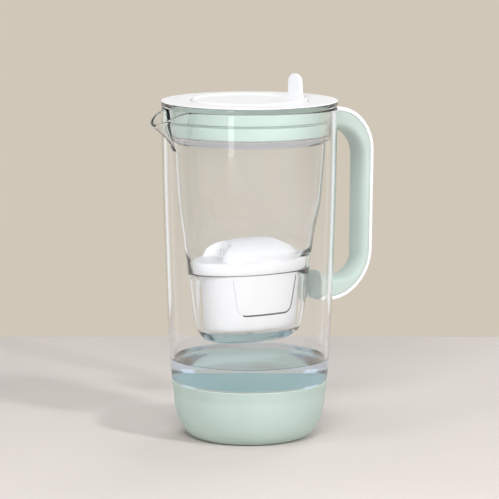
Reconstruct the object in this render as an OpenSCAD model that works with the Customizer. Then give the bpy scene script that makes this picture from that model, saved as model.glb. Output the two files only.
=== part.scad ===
// Glass water filter jug with a flip lid.
// Origin: centre of the flat underside, on the jug's axis. +Z up, +X towards the handle.
// Millimetres.

/* [Glass jug] */
// Height of the glass rim above the table
rim_z = 265.9; // [258:0.1:266]
// Outer radius of the glass at the rim
rim_r = 70.0; // [69.6:0.1:70.2]
// Outer radius of the glass half way up
mid_r = 67.8; // [67:0.1:68.5]
// Outer radius of the glass just above the base
foot_r = 62.6; // [62.2:0.1:62.8]
// Thickness of the glass wall
glass_t = 3.0; // [2.4:0.1:3.2]
// Thickness of the glass floor
floor_t = 6.0; // [4:0.5:8]

/* [Spout] */
// Reach of the spout tip from the axis
spout_reach = 90; // [86:0.5:92]
// Half width of the spout where it leaves the rim
spout_half_w = 18; // [16:0.5:19]
// Height of the lowest point of the spout's keel
keel_z = 232; // [228:1:236]

/* [Base] */
// Height of the top edge of the silicone base
base_h = 45.8; // [44:0.1:46]
// Outer radius of the base at its top edge
base_top_r = 62.9; // [62.7:0.1:63.2]
// Radius of the flat underside
base_flat_r = 41.9; // [40:0.1:43]
// Thickness of silicone under the glass
base_floor_t = 3.0; // [2.5:0.1:3.5]

/* [Handle] */
// Width of the handle along Y
handle_w = 24; // [20:0.5:26]
// Reach of the handle's outer face from the axis
handle_reach = 113.3; // [112:0.1:114]
// Height of the top of the upper arm
handle_top_z = 262.4; // [261:0.1:263]
// Height of the underside of the lower arm
handle_low_z = 104.7; // [103:0.1:106]
// Thickness of the white outer strip
strip_t = 3.2; // [2.4:0.1:3.6]
// Thickness of the pads that bond the handle to the glass
pad_t = 1.2; // [0.8:0.1:1.5]

/* [Funnel] */
// Outer radius of the funnel's rim flange
flange_r = 70.3; // [69.8:0.1:70.5]
// Thickness of the rim flange
flange_t = 4.4; // [4.2:0.1:4.5]
// Outer radius of the collar that hangs inside the glass
collar_r = 65.3; // [65:0.1:65.5]
// Wall thickness of the funnel
funnel_t = 1.6; // [1.4:0.1:1.8]
// Diameter of the outlet hole in the floor of the pocket
outlet_d = 6; // [4:0.5:10]

/* [Lid] */
// Outer radius of the white lid plate
lid_r = 70.5; // [70:0.1:70.6]
// Height of the lid plate's flat top
lid_top_z = 271.2; // [271.1:0.1:271.4]
// Outer radius of the green plug ring under the lid
plug_r = 63.4; // [63.2:0.1:63.4]
// Height of the bottom of the plug ring
plug_low_z = 244.6; // [244.6:0.1:246]
// Radius of the filling hole
fill_r = 38; // [37.8:0.1:38.4]

/* [Flip cover] */
// Radius of the flip disc
disc_r = 46.5; // [46:0.1:46.6]
// Thickness of the flip disc at its rim
disc_t = 2.2; // [2:0.1:2.3]
// Width of the thumb lever at its foot
lever_w = 20.4; // [18:0.2:22]
// Thickness of the thumb lever
lever_t = 2.9; // [2.4:0.1:3]
// Height of the lever's rounded top
lever_top_z = 290; // [286:0.2:292]
// Diameter of the hinge pin
pin_d = 2.0; // [1.8:0.1:2]

/* [Cartridge] */
// Length of the cartridge's flange along X
cart_l = 99.6; // [98:0.2:100]
// Width of the cartridge's flange along Y
cart_w = 58; // [56:0.5:58]
// Height of the cartridge's underside above the table
cart_z = 89; // [89:0.1:89.5]
// Height of the flange's underside above the cartridge's underside
cart_body_h = 46; // [45.5:0.1:46]
// Height of the flange band
cart_band_h = 10; // [9:0.5:10.5]
// Height of the cap's crown above the flange
crown_h = 15.4; // [14.6:0.1:16]
// Wall thickness of the cartridge
cart_t = 1.6; // [1.4:0.1:1.8]

/* [Hidden] */
$fn = 96;
eps = 0.01;
spout_root = 66;                                  // distance of the spout's upright axis from the jug's
rest_gap = 0.1;                                   // air under a part that lifts off
ring_n = 56;                                      // points round an oval section
base_side_t = 1.5;                                // silicone beside the glass at the top edge
corner_a = base_top_r - 1.9 - base_flat_r;        // the base's rounded corner, radial
corner_b = 36.2;                                  // and in height
collar_low_z = 244.2;
step_z = 238.8;                                   // underside of the step below the collar
hinge_x = disc_r + 2;
hinge_z = lid_top_z - 2.6;
recess_r = disc_r + 0.5;                          // recess in the lid that takes the flip disc
recess_z = lid_top_z - 1.4;                       // its floor
disc_z = recess_z + 0.3;                          // underside of the flip disc
barrel_r = 2.2;
pocket_half_w = 12.4;                             // half width of the hinge pocket in the lid
lever_x = disc_r - 4.1;                           // inner face of the lever
lever_arch = 6.6;                                 // height of the lever's rounded top
handle_root_x = 50;                               // inside the glass, before the handle is cut to it
root_fillet = 7;                                  // where the lower arm meets the glass
grip_lean = 1.3;                                  // the grip leans in by this much towards its foot
grip_depth = 10.4;                                // radial depth of the grip, strip included
arm_h = 19;                                       // height of both arms
band_z = cart_z + cart_body_h;                    // underside of the cartridge's flange
dome_z = band_z + cart_band_h;                    // top of the flange
scoop_x = 37.4;                                   // upright axis of a finger hollow in the cap
scoop_r = 13.6;                                   // its radius at the flange
scoop_slope = 0.22;                               // and how fast that grows upwards

// Quarter of an ellipse from the flat underside (t = 0) to the upright side (t = 90)
function bend(cx, cz, a, b, steps) =
    [for (i = [0:steps]) let (t = 90 * i / steps) [cx + a * sin(t), cz - b * cos(t)]];

// Outer profile of the glass, the base's recess included, widened by g
function glass_outline(g = 0) = concat(
    [[0, base_floor_t - g]],
    bend(base_flat_r, corner_b, corner_a - base_side_t - 0.2 + g, corner_b - base_floor_t + g, 12),
    [[base_top_r - base_side_t + g, base_h - 0.4], [foot_r + g, base_h + 1.3],
     [64.1 + g, 70], [65.6 + g, 94], [66.5 + g, 112], [mid_r + g, 151], [69 + g, 191],
     [69.7 + g, 231], [rim_r + g, rim_z - 1.2], [rim_r - 1 + g, rim_z]]);

// One closed ring of points: a superellipse with half lengths a and b at height z
function oval_ring(z, a, b, p) = [for (i = [0:ring_n - 1]) let (t = 360 * i / ring_n)
    [a * sign(cos(t)) * pow(abs(cos(t)), 2 / p), b * sign(sin(t)) * pow(abs(sin(t)), 2 / p), z]];

// Solid through a list of [z, a, b, p] sections. The list may run up the outside of a wall,
// over its rim and down the inside, and it closes with a flat cap at both ends.
module oval_skin(sections) {
    n = len(sections);
    points = [for (s = sections) each oval_ring(s[0], s[1], s[2], s[3])];
    sides = [for (k = [0:n - 2], i = [0:ring_n - 1])
        let (j = (i + 1) % ring_n, a = k * ring_n + i, b = k * ring_n + j)
        each [[a, a + ring_n, b], [b, a + ring_n, b + ring_n]]];
    bottom = [for (i = [0:ring_n - 1]) i];
    top = [for (i = [0:ring_n - 1]) n * ring_n - 1 - i];
    polyhedron(points, concat(sides, [bottom], [top]), convexity = 6);
}

module lathe(points) rotate_extrude($fn = $fn) polygon(points);

module tube(r_out, r_in, z0, z1) lathe([[r_in, z0], [r_out, z0], [r_out, z1], [r_in, z1]]);

// Extrudes an outline drawn in X and Z along Y, centred on the handle's plane
module across(width) rotate([90, 0, 0]) translate([0, 0, -width / 2]) linear_extrude(width) children();

// ---- glass -------------------------------------------------------------

module glass_blank() lathe(concat(glass_outline(), [[0, rim_z]]));

module glass_cavity() {
    t = glass_t;
    floor_z = base_floor_t + floor_t;
    lathe(concat([[0, floor_z]],
        bend(base_flat_r - 4, corner_b + 2, corner_a - 0.8, corner_b + 2 - floor_z, 10),
        [[foot_r - t, base_h + 3], [64.1 - t, 70], [65.6 - t, 94], [66.5 - t, 112], [mid_r - t, 151],
         [69 - t, 191], [69.7 - t, 231], [rim_r - t, rim_z - 1.2], [rim_r - t + 0.8, rim_z + eps],
         [0, rim_z + eps]]));
}

// Flared beak, steep at the root and flatter towards the tip: [z, reach past the root, half width].
// `in` shrinks it for the channel inside.
module spout_body(in = 0) {
    flare = (spout_reach - spout_root) / 24;
    levels = [[keel_z, 3.5, 3], [240, 7.4, 7.2], [247, 12.8, 11.4], [255.4, 22.8, 15.4], [262, 30, 17.4],
              [rim_z, 34, spout_half_w]];
    translate([-spout_root, 0, 0]) oval_skin([for (i = [0:len(levels) - 1])
        let (lv = levels[i], lift = i == 0 ? 1.5 * in : i == 5 ? in : 0)
        [lv[0] + lift, max(lv[1] * flare - in, 0.8), max(lv[2] - 0.9 * in, 0.8), 2]]);
}

// Everything above the sloping edge of the spout
module above_spout_edge() translate([-70, 0, rim_z]) rotate([0, -25, 0])
    translate([-60, -40, 0]) cube([60, 80, 40]);

module glass_jug() color([0.86, 0.93, 0.93, 0.35]) difference() {
    union() {
        glass_blank();
        difference() {
            spout_body();
            above_spout_edge();
            translate([4 - spout_root, -30, 200]) cube([90, 60, 80]);
        }
    }
    glass_cavity();
    spout_body(2.7);
}

// ---- base --------------------------------------------------------------

module silicone_base() color("#C9DDD2") difference() {
    lathe(concat([[0, 0]], bend(base_flat_r, corner_b, corner_a, corner_b, 14),
        [[base_top_r - 0.2, base_h - 1.2], [base_top_r - 0.1, base_h - 0.5], [base_top_r - 0.7, base_h],
         [0, base_h]]));
    lathe(concat(glass_outline(), [[0, rim_z]]));
}

// ---- handle ------------------------------------------------------------

function arc(cx, cz, r, from, to, steps) =
    [for (i = [0:steps]) let (t = from + (to - from) * i / steps) [cx + r * cos(t), cz + r * sin(t)]];

// Outer edge of the handle's side view, g inside its outer face, from the lower arm to the upper
function outer_edge(g) = let (low_r = 41, top_r = 37) concat(
    [[handle_root_x, handle_low_z + g]],
    arc(handle_reach - grip_lean - low_r, handle_low_z + low_r, low_r - g, -90, 0, 16),
    arc(handle_reach - top_r, handle_top_z - top_r, top_r - g, 0, 90, 16),
    [[handle_root_x, handle_top_z - g]]);

// Edge of the finger gap, from the upper arm down to the fillet where the lower arm meets the glass
function inner_edge() = let (top_r = 25.5, low_r = 17.5, x = handle_reach - grip_depth) concat(
    [[handle_root_x, handle_top_z - arm_h]],
    arc(x - top_r, handle_top_z - arm_h - top_r, top_r, 90, 0, 12),
    arc(x - grip_lean - low_r, handle_low_z + arm_h + low_r, low_r, 0, -90, 10),
    arc(67 + root_fillet, handle_low_z + arm_h + root_fillet, root_fillet, -90, -180, 5),
    [[handle_root_x, handle_low_z + arm_h + root_fillet]]);

// The glass with a skin g thick, used to shape whatever bonds to it
module glass_envelope(g) lathe(concat(glass_outline(g), [[0, rim_z]]));

module handle_grip() color("#B9CFC4") difference() {
    across(handle_w) polygon(concat(outer_edge(strip_t), inner_edge()));
    glass_envelope(pad_t);
}

module handle_strip() color("#FBFBFB") difference() {
    under = outer_edge(strip_t);
    across(handle_w) polygon(concat(outer_edge(0), [for (i = [len(under) - 1:-1:0]) under[i]]));
    glass_envelope(pad_t);
}

// Curved pad between the glass and one arm of the handle
module bond_pad(z0, z1) color("#A9C2BB") difference() {
    intersection() {
        translate([50, -handle_w / 2 + 1, z0]) cube([30, handle_w - 2, z1 - z0]);
        glass_envelope(pad_t);
    }
    glass_envelope(0);
}

module upper_bond_pad() bond_pad(handle_top_z - 18.5, handle_top_z - 1);
module lower_bond_pad() bond_pad(handle_low_z + 1, handle_low_z + 24);

// ---- funnel ------------------------------------------------------------

// Pocket and reservoir: [z, half length, half width, squareness] up the outside
function funnel_outside() = [
    [78.6, 30, 14, 2.2], [79.8, 36, 20, 2.2], [82.4, 41, 24.8, 2.2], [88, 44.6, 28, 2.2],
    [96, 47.2, 30, 2.2], [110, 50, 31.6, 2.2], [131, 52.4, 33.2, 2.2], [145, 53.7, 34.4, 2.2],
    [151, 55, 36.6, 2.1], [167, 56.8, 43, 2], [180, 57.4, 50.5, 2], [191, 57.8, 55.6, 2],
    [207, 58.6, 58.2, 2], [step_z + 2, 60.8, 60.8, 2]];

// The same wall down the inside, with the ledge that carries the cartridge's flange
function funnel_inside() = let (t = funnel_t) [
    [step_z + 2, 60.8 - t, 60.8 - t, 2], [207, 58.6 - t, 58.2 - t, 2], [191, 57.8 - t, 55.6 - t, 2],
    [180, 57.4 - t, 50.5 - t, 2], [167, 56.8 - t, 43 - t, 2], [151, 55 - t, 36.6 - t, 2.1],
    [146, 52, 31.4, 2.1], [band_z - rest_gap + eps, 51.2, 30.6, 2.1], [band_z - rest_gap, 46.6, 28.9, 2.2],
    [110, 45.2, 27.6, 2.2], [95, 43.4, 26.4, 2.2], [cart_z, 42, 25.4, 2.2], [cart_z - 2.8, 40, 23.6, 2.2],
    [cart_z - 5.4, 34, 18, 2.2]];

module funnel() color([0.92, 0.95, 0.95, 0.4]) difference() {
    union() {
        oval_skin(concat(funnel_outside(), funnel_inside()));
        lathe([[58.9, step_z + 0.4], [61.4, step_z], [63.6, step_z + 1.6], [collar_r, collar_low_z],
               [collar_r, rim_z + rest_gap], [flange_r - 0.4, rim_z + rest_gap],
               [flange_r, rim_z + rest_gap + 0.4], [flange_r, rim_z + flange_t],
               [collar_r - funnel_t + 0.05, rim_z + flange_t], [collar_r - funnel_t + 0.05, collar_low_z],
               [58.9, collar_low_z]]);
    }
    translate([0, 0, 70]) cylinder(d = outlet_d, h = 20, $fn = 48);
}

// ---- cartridge ---------------------------------------------------------

function cup_sections(g) = [
    [cart_z + g, 35 - g, 19 - g, 2.3], [cart_z + 0.6 + g, 37.2 - g, 21 - g, 2.3],
    [cart_z + 2.5 + g, 38.4 - g, 22.1 - g, 2.3], [cart_z + 7 + g, 39.5 - g, 23.2 - g, 2.3]];

module cartridge_cup() color("#F6F6F8") difference() {
    oval_skin(concat(cup_sections(0),
        [[band_z, 43.2, 26.4, 2.3], [band_z, 43.2 - cart_t, 26.4 - cart_t, 2.3]],
        [for (i = [3:-1:0]) cup_sections(cart_t)[i]]));
    for (x = [-12:6:12]) translate([x - 1, -7, cart_z - 1]) cube([2, 14, 5]);
}

// Crown of the cap, g inside its outer face
module crown(g = 0) oval_skin([
    [dome_z - 6 - g, 36.2 - g, cart_w / 2 - 0.6 - g, 3.2], [dome_z + 0.22 * crown_h, 36 - g, 28 - g, 3.1],
    [dome_z + 0.44 * crown_h, 34.8 - g, 26.2 - g, 2.9], [dome_z + 0.63 * crown_h, 32.2 - g, 22.8 - g, 2.7],
    [dome_z + 0.81 * crown_h - g, 28.2 - g, 17.6 - g, 2.5],
    [dome_z + 0.93 * crown_h - g, 23.4 - g, 11.6 - g, 2.3], [dome_z + crown_h - g, 16 - g, 6.5 - g, 2.1]]);

// Hollows for finger and thumb at both ends of the crown, widening upwards, and wider by g
module finger_scoops(g = 0) for (s = [-1, 1]) translate([scoop_x * s, 0, dome_z])
    cylinder(h = crown_h + 2, r1 = scoop_r + g, r2 = scoop_r + scoop_slope * (crown_h + 2) + g, $fn = 96);

module cartridge_cap() color("#FFFFFF") difference() {
    union() {
        oval_skin([for (level = [[band_z, 0.5], [band_z + 0.6, 0], [dome_z - 0.6, 0], [dome_z, 0.5]])
            [level[0], cart_l / 2 - level[1], cart_w / 2 - level[1], 2]]);
        crown();
    }
    finger_scoops();
    difference() {
        crown(cart_t);
        finger_scoops(cart_t);
    }
    oval_skin([[band_z - eps, 41.6, 24.8, 2.3], [dome_z - 2, 41.6, 24.8, 2.3]]);
    for (s = [-1, 1], y = [-6:3:6]) translate([22.7 * s - 5, y - 0.5, dome_z + 2]) cube([10, 1, 6]);
}

module screen_plate(z, t, a, b) translate([0, 0, z]) linear_extrude(t)
    polygon([for (p = oval_ring(0, a, b, 2.3)) [p[0], p[1]]]);

module inlet_screen() color("#E9E9E4") screen_plate(band_z - 3, 0.8, 41, 24.2);
module outlet_screen() color("#E9E9E4") screen_plate(cart_z + 9, 0.8, 37.8, 21.4);

module filter_granules() color("#4A463F") oval_skin([
    [cart_z + 10, 37.8, 21.5, 2.3], [band_z - 3.2, 40.9, 24.2, 2.3]]);

// ---- lid ---------------------------------------------------------------

module hinge_bore(d, half_len) translate([hinge_x, half_len, hinge_z]) rotate([90, 0, 0])
    cylinder(d = d, h = 2 * half_len, $fn = 48);

module lid_plate() color("#FFFFFF") difference() {
    low_z = rim_z + flange_t + rest_gap;
    union() {
        lathe([[fill_r, low_z - 2.4], [plug_r - 2.2, low_z - 2.4], [plug_r - 2.2, low_z],
               [lid_r - 0.2, low_z], [lid_r, low_z + 0.2], [lid_r - 0.1, lid_top_z - 0.3],
               [lid_r - 0.7, lid_top_z], [recess_r + 0.3, lid_top_z], [recess_r, lid_top_z - 0.3],
               [recess_r, recess_z], [fill_r + 0.4, recess_z], [fill_r, recess_z - 0.4]]);
        translate([hinge_x - 6, -pocket_half_w - 2.6, hinge_z - 4]) cube([12.4, 2 * pocket_half_w + 5.2, 5]);
    }
    translate([hinge_x - 4.3, -pocket_half_w, hinge_z - barrel_r - 0.3])
        cube([9.2, 2 * pocket_half_w, 10]);
    hinge_bore(pin_d, pocket_half_w + 1.6);
}

// Green ring that plugs the funnel's collar, with a groove for the seal
module lid_plug_ring() color("#CFE0D6") {
    top_z = rim_z + flange_t + rest_gap;
    lathe([[plug_r - 2.2, plug_low_z + 0.6], [plug_r - 1.6, plug_low_z], [plug_r - 0.9, plug_low_z],
           [plug_r - 0.2, plug_low_z + 1], [plug_r, 250], [plug_r, 254.6], [plug_r - 1.2, 255],
           [plug_r - 1.2, 256.2], [plug_r, 256.6], [plug_r, top_z], [plug_r - 2.2, top_z]]);
}

module lid_seal() color("#B5C9C0") lathe([[plug_r - 1.2, 255.1], [plug_r - 0.2, 255.1],
    [plug_r + 0.05, 255.6], [plug_r - 0.2, 256.1], [plug_r - 1.2, 256.1]]);

// ---- flip cover --------------------------------------------------------

// Dished disc with a raised rim. Below it are the ring that closes the filling hole and the hinge barrel,
// and the thumb lever stands on top.
module flip_cover() color("#FFFFFF") difference() {
    dish_z = disc_z + 0.45 * disc_t;
    top_half = lever_w / 2 - 0.7;
    union() {
        lathe([[0, disc_z], [disc_r - 0.6, disc_z], [disc_r, disc_z + 0.9],
               [disc_r - 0.1, disc_z + disc_t - 0.5], [disc_r - 0.7, disc_z + disc_t],
               [disc_r - 2.4, disc_z + disc_t], [disc_r - 4, dish_z + 0.2], [disc_r - 5.5, dish_z],
               [0, dish_z]]);
        tube(fill_r - 0.7, fill_r - 2.2, disc_z - 1.6, disc_z + eps);
        translate([hinge_x, pocket_half_w - 0.4, hinge_z]) rotate([90, 0, 0])
            cylinder(r = barrel_r, h = 2 * pocket_half_w - 0.8, $fn = 48);
        translate([hinge_x - 3.9, -pocket_half_w + 0.4, hinge_z - 1])
            cube([3.9, 2 * pocket_half_w - 0.8, disc_z + 0.9 - hinge_z + 1]);
        translate([lever_x, 0, 0]) rotate([90, 0, 90]) linear_extrude(lever_t)
            polygon(concat([[-lever_w / 2, disc_z + 0.2], [lever_w / 2, disc_z + 0.2]],
                [for (t = [0:5:180]) [top_half * cos(t), lever_top_z - lever_arch + lever_arch * sin(t)]]));
    }
    hinge_bore(pin_d + 0.1, pocket_half_w);
}

module hinge_pin() color("#D9DCDD") hinge_bore(pin_d, pocket_half_w + 1.6);

glass_jug();
silicone_base();
handle_grip();
handle_strip();
upper_bond_pad();
lower_bond_pad();
funnel();
cartridge_cup();
cartridge_cap();
inlet_screen();
filter_granules();
outlet_screen();
lid_plate();
lid_plug_ring();
lid_seal();
flip_cover();
hinge_pin();
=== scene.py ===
import math
import bpy
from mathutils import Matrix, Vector


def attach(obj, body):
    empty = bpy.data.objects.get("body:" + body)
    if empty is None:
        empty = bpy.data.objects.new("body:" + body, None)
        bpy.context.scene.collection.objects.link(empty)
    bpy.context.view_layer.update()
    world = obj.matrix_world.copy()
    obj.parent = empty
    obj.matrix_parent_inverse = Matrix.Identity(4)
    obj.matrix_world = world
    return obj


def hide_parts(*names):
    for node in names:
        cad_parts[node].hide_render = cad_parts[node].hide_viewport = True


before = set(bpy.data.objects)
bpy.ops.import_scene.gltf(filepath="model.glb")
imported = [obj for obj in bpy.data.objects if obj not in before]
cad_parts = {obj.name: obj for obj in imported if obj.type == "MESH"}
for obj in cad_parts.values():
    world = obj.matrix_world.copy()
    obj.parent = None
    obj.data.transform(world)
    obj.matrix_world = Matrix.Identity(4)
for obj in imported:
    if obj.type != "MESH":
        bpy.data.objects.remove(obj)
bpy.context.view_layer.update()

# Glass water filter jug with a flip lid. Sizes are in millimetres, and meshes are written in metres.
# The origin is the centre of the flat underside, +Z is up and +X points towards the handle.
scene = bpy.context.scene
mm = 0.001


# Curves and outlines

def smoothThrough(stations, steps):
    # a smooth path through tuples of any length, each tangent weighted by the spacing beside it
    gaps = [math.dist(a, b) for a, b in zip(stations, stations[1:])]
    slopes = [[(v - u) / g for u, v in zip(a, b)] for a, b, g in zip(stations, stations[1:], gaps)]
    tangents = [slopes[0]]
    for k in range(1, len(gaps)):
        total = gaps[k - 1] + gaps[k]
        pairs = zip(slopes[k - 1], slopes[k])
        tangents.append([(s * gaps[k] + t * gaps[k - 1]) / total for s, t in pairs])
    tangents.append(slopes[-1])
    path = []
    for k, gap in enumerate(gaps):
        for i in range(steps):
            t = i / steps
            fromStart, toEnd = 2 * t**3 - 3 * t**2 + 1, 3 * t**2 - 2 * t**3
            leaving, arriving = (t**3 - 2 * t**2 + t) * gap, (t**3 - t**2) * gap
            path.append(tuple(fromStart * a + toEnd * b + leaving * m + arriving * n for a, b, m, n
                              in zip(stations[k], stations[k + 1], tangents[k], tangents[k + 1])))
    path.append(tuple(stations[-1]))
    return path


def softened(points, radius, steps=4, closed=False, mostOfEdge=0.45):
    # an outline whose corners are turned into short curves that start and end `radius` away
    soft = []
    for k, corner in enumerate(points):
        if not closed and k in (0, len(points) - 1):
            soft.append(corner)
            continue
        ends = []
        for other in (points[k - 1], points[(k + 1) % len(points)]):
            reach = min(radius / math.dist(corner, other), mostOfEdge)
            ends.append([c + (o - c) * reach for c, o in zip(corner, other)])
        for i in range(steps + 1):
            t = i / steps
            soft.append(tuple((1 - t)**2 * a + 2 * t * (1 - t) * c + t**2 * b
                              for a, c, b in zip(ends[0], corner, ends[1])))
    return soft


def arcPoints(centre, radius, start, end, steps):
    angles = [math.radians(start + (end - start) * i / steps) for i in range(steps + 1)]
    return [(centre[0] + radius * math.cos(a), centre[1] + radius * math.sin(a)) for a in angles]


def linePoints(start, end, steps):
    return [tuple(a + (b - a) * i / steps for a, b in zip(start, end)) for i in range(steps + 1)]


def bendPoints(centre, reach, drop, steps):
    # quarter of an ellipse from a flat underside to an upright side
    angles = [math.radians(90 * i / steps) for i in range(steps + 1)]
    return [(centre[0] + reach * math.sin(a), centre[1] - drop * math.cos(a)) for a in angles]


def valueAt(path, z):
    # reads a radius off a path of (radius, height) points that only rises
    for (r0, z0), (r1, z1) in zip(path, path[1:]):
        if z <= z1:
            return r0 + (r1 - r0) * (z - z0) / (z1 - z0)
    return path[-1][0]


# Meshes

def ringSkin(rings, closed=False):
    # faces between rings of equal length; an open skin gets a fan over both ends
    size = len(rings[0])
    points = [p for ring in rings for p in ring]
    faces = []
    for k in range(len(rings) if closed else len(rings) - 1):
        a, b = k * size, (k + 1) % len(rings) * size
        for i in range(size):
            j = (i + 1) % size
            faces.append((a + i, a + j, b + j, b + i))
    if not closed:
        first = (len(rings) - 1) * size
        for ring, offset in ((rings[0], 0), (rings[-1], first)):
            pole = len(points)
            points.append(tuple(sum(axis) / size for axis in zip(*ring)))
            for i in range(size):
                j = (i + 1) % size
                faces.append((pole, offset + i, offset + j) if offset else (pole, j, i))
    return points, faces


def lathe(profile, steps=192, closed=False):
    turns = [(math.cos(2 * math.pi * i / steps), math.sin(2 * math.pi * i / steps)) for i in range(steps)]
    return ringSkin([[(r * c, r * s, z) for c, s in turns] for r, z in profile], closed)


def ovalRing(z, a, b, power, steps, centre=0.0):
    ring = []
    for i in range(steps):
        angle = 2 * math.pi * i / steps
        c, s = math.cos(angle), math.sin(angle)
        ring.append((centre + math.copysign(a * abs(c)**(2 / power), c),
                     math.copysign(b * abs(s)**(2 / power), s), z))
    return ring


def boxShell(low, high):
    corners = [(low[0], low[1]), (high[0], low[1]), (high[0], high[1]), (low[0], high[1])]
    points = [(x, y, z) for z in (low[2], high[2]) for x, y in corners]
    faces = [(3, 2, 1, 0), (4, 5, 6, 7)] + [(i, (i + 1) % 4, (i + 1) % 4 + 4, i + 4) for i in range(4)]
    return points, faces


def crossRod(x, z, radius, halfLength, chamfer=0.5, steps=48):
    # a rod along Y with softened ends
    stations = [(-halfLength, radius - chamfer), (-halfLength + chamfer, radius),
                (halfLength - chamfer, radius), (halfLength, radius - chamfer)]
    rings = []
    for y, r in stations:
        angles = [2 * math.pi * i / steps for i in range(steps)]
        rings.append([(x + r * math.sin(a), y, z + r * math.cos(a)) for a in angles])
    return ringSkin(rings)


def smoothShaded(piece, sharpAngle):
    piece.data.shade_smooth()
    piece.data.set_sharp_from_angle(angle=math.radians(sharpAngle))


def makePiece(name, shells, material, sharpAngle=38):
    points, faces = [], []
    for shellPoints, shellFaces in shells:
        offset = len(points)
        points += [(x * mm, y * mm, z * mm) for x, y, z in shellPoints]
        faces += [tuple(offset + i for i in face) for face in shellFaces]
    mesh = bpy.data.meshes.new(name)
    mesh.from_pydata(points, [], faces)
    mesh.update()
    mesh.materials.append(material)
    piece = bpy.data.objects.new(name, mesh)
    scene.collection.objects.link(piece)
    smoothShaded(piece, sharpAngle)
    return piece


def settle(piece):
    # turns what the modifiers show into the piece's own plain mesh
    graph = bpy.context.evaluated_depsgraph_get()
    mesh = bpy.data.meshes.new_from_object(piece.evaluated_get(graph))
    piece.modifiers.clear()
    piece.data = mesh
    return piece


def carve(piece, operation, *tools, sharpAngle=30):
    # joins the tools to the piece or takes them away from it, and deletes them
    for tool in tools:
        modifier = piece.modifiers.new("carve", "BOOLEAN")
        modifier.operation = operation
        modifier.solver = "EXACT"
        modifier.material_mode = "TRANSFER"
        modifier.object = tool
    settle(piece)
    for tool in tools:
        bpy.data.objects.remove(tool)
    smoothShaded(piece, sharpAngle)


# Geometry Nodes

def newTree(name, inputs):
    tree = bpy.data.node_groups.new(name, "GeometryNodeTree")
    tree.interface.new_socket("Geometry", in_out="INPUT", socket_type="NodeSocketGeometry")
    for label, kind in inputs:
        tree.interface.new_socket(label, in_out="INPUT", socket_type="NodeSocket" + kind)
    tree.interface.new_socket("Geometry", in_out="OUTPUT", socket_type="NodeSocketGeometry")
    return tree, tree.nodes.new("NodeGroupInput").outputs, tree.nodes.new("NodeGroupOutput").inputs


def addNode(tree, kind, inputs=None, **settings):
    made = tree.nodes.new(kind)
    for key, value in settings.items():
        setattr(made, key, value)
    for key, value in (inputs or {}).items():
        if isinstance(value, bpy.types.NodeSocket):
            tree.links.new(value, made.inputs[key])
        else:
            made.inputs[key].default_value = value
    return made


def mathNode(tree, operation, *values):
    return addNode(tree, "ShaderNodeMath", dict(enumerate(values)), operation=operation).outputs["Value"]


def finishTree(tree, instances, given, result):
    # the export drops instances, so a tree ends in real faces with their material set
    realized = addNode(tree, "GeometryNodeRealizeInstances", {"Geometry": instances})
    painted = addNode(tree, "GeometryNodeSetMaterial",
                      {"Geometry": realized.outputs["Geometry"], "Material": given["Material"]})
    tree.links.new(painted.outputs["Geometry"], result["Geometry"])
    return tree


def slotRowTree():
    # a straight row of equal blocks
    tree, given, result = newTree("slotRow", [("Count", "Int"), ("Start", "Vector"), ("Pitch", "Vector"),
                                              ("Size", "Vector"), ("Material", "Material")])
    row = addNode(tree, "GeometryNodeMeshLine",
                  {"Count": given["Count"], "Start Location": given["Start"], "Offset": given["Pitch"]})
    block = addNode(tree, "GeometryNodeMeshCube", {"Size": given["Size"]})
    placed = addNode(tree, "GeometryNodeInstanceOnPoints",
                     {"Points": row.outputs["Mesh"], "Instance": block.outputs["Mesh"]})
    return finishTree(tree, placed.outputs["Instances"], given, result)


def followPathTree():
    # a round cord along the edges of the mesh that it is given
    tree, given, result = newTree("followPath", [("Radius", "Float"), ("Material", "Material")])
    route = addNode(tree, "GeometryNodeMeshToCurve", {"Mesh": given["Geometry"]})
    section = addNode(tree, "GeometryNodeCurvePrimitiveCircle", {"Resolution": 14, "Radius": given["Radius"]})
    swept = addNode(tree, "GeometryNodeCurveToMesh",
                    {"Curve": route.outputs["Curve"], "Profile Curve": section.outputs["Curve"],
                     "Fill Caps": True})
    return finishTree(tree, swept.outputs["Mesh"], given, result)


def ringRibsTree():
    # concentric round ribs that touch the ground
    tree, given, result = newTree("ringRibs", [("Count", "Int"), ("Inner Radius", "Float"),
                                               ("Spacing", "Float"), ("Rib Radius", "Float"),
                                               ("Material", "Material")])
    start = addNode(tree, "ShaderNodeCombineXYZ", {"Z": given["Rib Radius"]})
    centres = addNode(tree, "GeometryNodeMeshLine", {"Count": given["Count"], "Offset": (0, 0, 0),
                                                     "Start Location": start.outputs["Vector"]})
    ring = addNode(tree, "GeometryNodeCurvePrimitiveCircle", {"Resolution": 128})
    placed = addNode(tree, "GeometryNodeInstanceOnPoints",
                     {"Points": centres.outputs["Mesh"], "Instance": ring.outputs["Curve"]})
    number = addNode(tree, "GeometryNodeInputIndex")
    grown = mathNode(tree, "MULTIPLY_ADD", number.outputs["Index"], given["Spacing"], given["Inner Radius"])
    scaled = addNode(tree, "GeometryNodeScaleInstances",
                     {"Instances": placed.outputs["Instances"], "Scale": grown})
    real = addNode(tree, "GeometryNodeRealizeInstances", {"Geometry": scaled.outputs["Instances"]})
    section = addNode(tree, "GeometryNodeCurvePrimitiveCircle",
                      {"Resolution": 12, "Radius": given["Rib Radius"]})
    swept = addNode(tree, "GeometryNodeCurveToMesh",
                    {"Curve": real.outputs["Geometry"], "Profile Curve": section.outputs["Curve"]})
    return finishTree(tree, swept.outputs["Mesh"], given, result)


def grow(tree, name, values, base=None):
    # runs a tree once and keeps the result as a plain mesh
    piece = bpy.data.objects.new(name, base or bpy.data.meshes.new(name))
    scene.collection.objects.link(piece)
    modifier = piece.modifiers.new(name, "NODES")
    modifier.node_group = tree
    for item in tree.interface.items_tree:
        if item.in_out == "INPUT" and item.name in values:
            modifier[item.identifier] = values[item.name]
    return settle(piece)


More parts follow.
